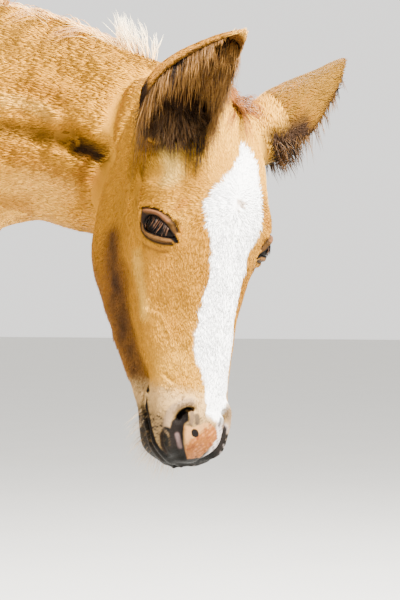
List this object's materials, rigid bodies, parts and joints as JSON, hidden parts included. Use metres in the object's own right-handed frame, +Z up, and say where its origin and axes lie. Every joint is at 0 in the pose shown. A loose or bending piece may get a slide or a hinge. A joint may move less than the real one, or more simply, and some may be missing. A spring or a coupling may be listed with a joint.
{
  "type": "quarter horse foal",
  "caption": "Standing quarter horse foal at life size, neck lowered and head hanging with the face turned to its right, golden coat, white blaze, short pale mane and fluffy tail.",
  "frame": {"origin": "centre of the whole animal's box, on the floor under the hooves", "axes": "+X the way the foal's body faces, +Y to its left, +Z up"},
  "size_m": [1.4948, 0.3888, 1.127],
  "materials": {
    "coat": "short, dense, golden palomino foal coat",
    "mane": "fine pale flaxen hair",
    "horn": "smooth brown-grey horn",
    "eye": "wet, very dark brown"
  },
  "bodies": {
    "root": {"ear_left": "coat", "ear_right": "coat", "foreleg_lower_left": "coat", "foreleg_lower_right": "coat", "foreleg_upper_left": "coat", "foreleg_upper_right": "coat", "head": "coat", "hindleg_lower_left": "coat", "hindleg_lower_right": "coat", "hindleg_upper_left": "coat", "hindleg_upper_right": "coat", "neck": "coat", "torso": "coat", "tail": "mane", "eye_left": "eye", "eye_right": "eye", "hoof_fore_left": "horn", "hoof_fore_right": "horn", "hoof_hind_left": "horn", "hoof_hind_right": "horn"}
  },
  "joints": []
}
